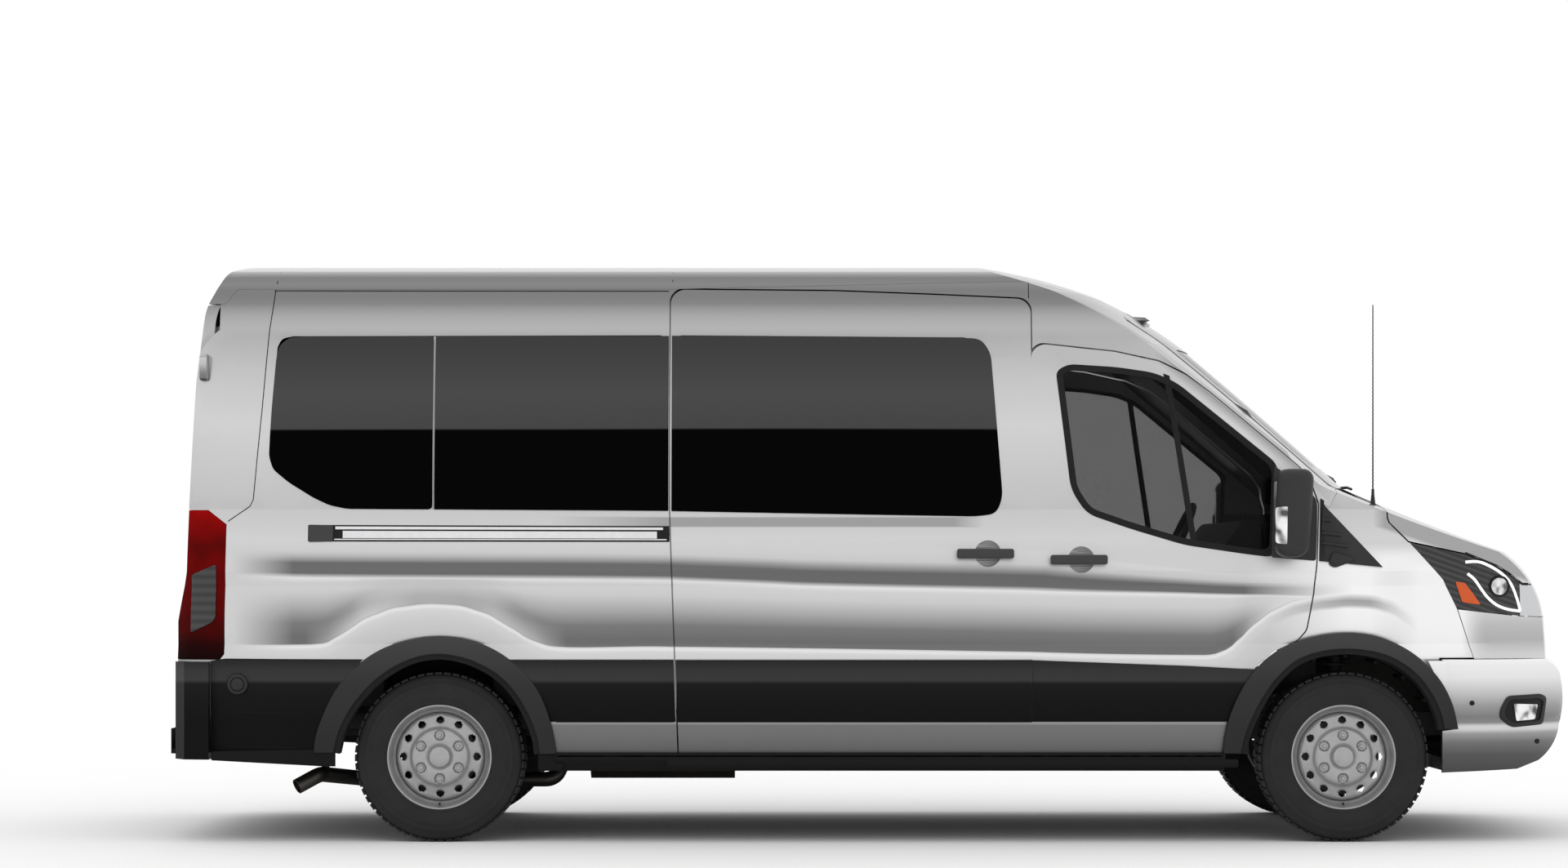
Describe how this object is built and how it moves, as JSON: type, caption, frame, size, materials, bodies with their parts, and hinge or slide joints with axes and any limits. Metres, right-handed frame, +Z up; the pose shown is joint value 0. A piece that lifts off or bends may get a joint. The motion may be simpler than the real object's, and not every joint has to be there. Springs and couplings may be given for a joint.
{
  "type": "passenger minibus",
  "caption": "long passenger van with windows along both sides, sliding side door, twin rear doors, opening front doors and bonnet, steered and rolling wheels",
  "frame": {"origin": "on the ground in the middle of the vehicle's length and width", "axes": "+X forward, +Y to the vehicle's left, +Z up"},
  "size_m": [5.942, 2.474, 2.4371],
  "materials": {
    "paint": "silver metallic paint with clear coat",
    "bumper_paint": "moulded cover painted silver metallic",
    "clear_glass": "lightly tinted safety glass",
    "privacy_glass": "dark privacy glass",
    "lamp_glass": "clear moulded lens",
    "tail_lens": "red moulded lens with a smoked middle",
    "black_plastic": "grained black moulding",
    "liner_plastic": "rough black liner",
    "tank_plastic": "blow moulded tank",
    "cabin_plastic": "dark grained dashboard",
    "seat_fabric": "woven dark grey cloth",
    "bright_metal": "anodised rail",
    "underbody_steel": "coated steel",
    "cast_steel": "cast and machined",
    "cast_metal": "as cast",
    "spring_steel": "black coated steel",
    "exhaust_steel": "dull stainless steel",
    "wheel_silver": "silver painted wheel",
    "tyre_rubber": "black rubber"
  },
  "bodies": {
    "van_body": {"side_body_right": "paint", "side_body_left": "paint", "roof_panel": "paint", "windscreen": "clear_glass", "side_glass": "privacy_glass", "sliding_door": "paint", "sliding_door_glass": "privacy_glass", "sliding_door_trim": "black_plastic", "front_fenders": "paint", "headlamps": "lamp_glass", "nose_panels": "paint", "grille": "black_plastic", "front_bumper": "bumper_paint", "fog_lamps": "lamp_glass", "rear_bumper": "black_plastic", "tail_lamps": "tail_lens", "side_cladding": "black_plastic", "arch_flares": "black_plastic", "side_sills": "black_plastic", "slide_track": "bright_metal", "wheel_liners": "liner_plastic", "floor_pan": "underbody_steel", "chassis_rails": "underbody_steel", "rear_axle": "cast_steel", "leaf_springs": "spring_steel", "propshaft": "spring_steel", "engine_block": "cast_metal", "fuel_tank": "tank_plastic", "front_suspension": "spring_steel", "exhaust": "exhaust_steel", "mirror_sails": "black_plastic", "antenna": "black_plastic", "cowl_panel": "black_plastic", "wipers": "black_plastic", "stop_lamp": "black_plastic", "dashboard": "cabin_plastic", "front_seats": "seat_fabric", "rear_seats": "seat_fabric"},
    "front_door_right": {"front_door_right": "paint", "front_door_trim_right": "black_plastic", "front_door_glass_right": "clear_glass"},
    "front_door_left": {"front_door_left": "paint", "front_door_trim_left": "black_plastic", "front_door_glass_left": "clear_glass"},
    "rear_door_right": {"rear_door_right": "paint", "rear_glass_right": "privacy_glass"},
    "rear_door_left": {"rear_door_left": "paint", "rear_glass_left": "privacy_glass"},
    "hood": {"hood": "paint"},
    "knuckle_right": {"knuckle_right": "cast_steel"},
    "knuckle_left": {"knuckle_left": "cast_steel"},
    "wheel_front_right": {"wheel_front_right": "wheel_silver", "tyre_front_right": "tyre_rubber"},
    "wheel_front_left": {"wheel_front_left": "wheel_silver", "tyre_front_left": "tyre_rubber"},
    "wheel_rear_right": {"wheel_rear_right": "wheel_silver", "tyre_rear_right": "tyre_rubber"},
    "wheel_rear_left": {"wheel_rear_left": "wheel_silver", "tyre_rear_left": "tyre_rubber"}
  },
  "joints": [
    {"name": "steer_right", "type": "hinge", "parent": "van_body", "child": "knuckle_right", "pos_m": [1.941, -0.76, 0.352], "axis": [0, 0, 1], "range_deg": [-35, 35]},
    {"name": "spin_front_right", "type": "hinge", "parent": "knuckle_right", "child": "wheel_front_right", "pos_m": [1.941, -0.865, 0.352], "axis": [0, 1, 0], "continuous": true},
    {"name": "spin_rear_right", "type": "hinge", "parent": "van_body", "child": "wheel_rear_right", "pos_m": [-1.809, -0.865, 0.352], "axis": [0, 1, 0], "continuous": true},
    {"name": "front_door_right_hinge", "type": "hinge", "parent": "van_body", "child": "front_door_right", "pos_m": [1.829, -1.014, 1.1], "axis": [0, 0, 1], "range_deg": [0, 65]},
    {"name": "rear_door_right_hinge", "type": "hinge", "parent": "van_body", "child": "rear_door_right", "pos_m": [-2.9295, -0.888, 0.7], "axis": [0.081, 0, 0.9967], "range_deg": [0, 170]},
    {"name": "steer_left", "type": "hinge", "parent": "van_body", "child": "knuckle_left", "pos_m": [1.941, 0.76, 0.352], "axis": [0, 0, 1], "range_deg": [-35, 35]},
    {"name": "spin_front_left", "type": "hinge", "parent": "knuckle_left", "child": "wheel_front_left", "pos_m": [1.941, 0.865, 0.352], "axis": [0, 1, 0], "continuous": true},
    {"name": "spin_rear_left", "type": "hinge", "parent": "van_body", "child": "wheel_rear_left", "pos_m": [-1.809, 0.865, 0.352], "axis": [0, 1, 0], "continuous": true},
    {"name": "front_door_left_hinge", "type": "hinge", "parent": "van_body", "child": "front_door_left", "pos_m": [1.829, 1.014, 1.1], "axis": [0, 0, -1], "range_deg": [0, 65]},
    {"name": "rear_door_left_hinge", "type": "hinge", "parent": "van_body", "child": "rear_door_left", "pos_m": [-2.9295, 0.888, 0.7], "axis": [-0.081, 0, -0.9967], "range_deg": [0, 170]},
    {"name": "hood_hinge", "type": "hinge", "parent": "van_body", "child": "hood", "pos_m": [2.119, 0, 1.445], "axis": [0, -1, 0], "range_deg": [0, 50]}
  ],
  "couplings": [
    {"joint": "steer_left", "follows": "steer_right", "ratio": 1}
  ]
}
